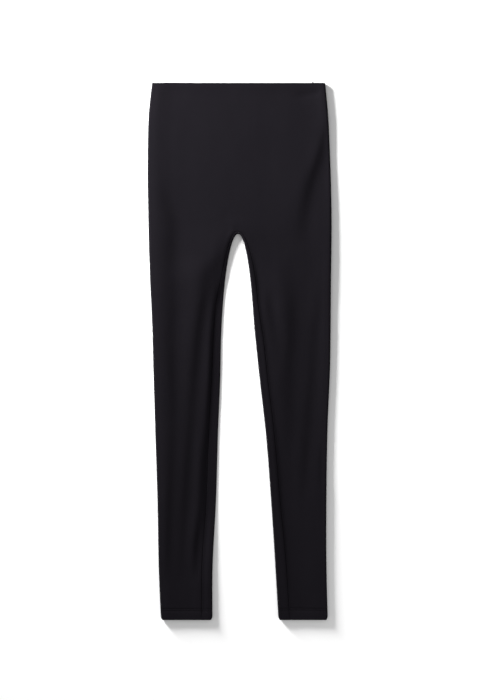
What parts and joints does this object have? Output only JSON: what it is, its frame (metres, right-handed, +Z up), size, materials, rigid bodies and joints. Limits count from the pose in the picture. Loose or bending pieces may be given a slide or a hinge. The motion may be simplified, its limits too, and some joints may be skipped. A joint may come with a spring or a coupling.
{
  "type": "leggings",
  "caption": "Full-length, high-waisted leggings in dark stretch knit, laid flat with the front up. Each back comes round its inner leg to an inseam that shows on top.",
  "frame": {"origin": "on the surface the garment lies on, under the middle of its bounding box", "axes": "+X to the right across the laid garment, +Y towards the waist, +Z up from the surface it lies on"},
  "size_m": [0.3312, 0.9674, 0.005],
  "materials": {
    "knit": "satin"
  },
  "bodies": {
    "root": {"front": "knit", "back_left": "knit", "back_right": "knit"}
  },
  "joints": []
}
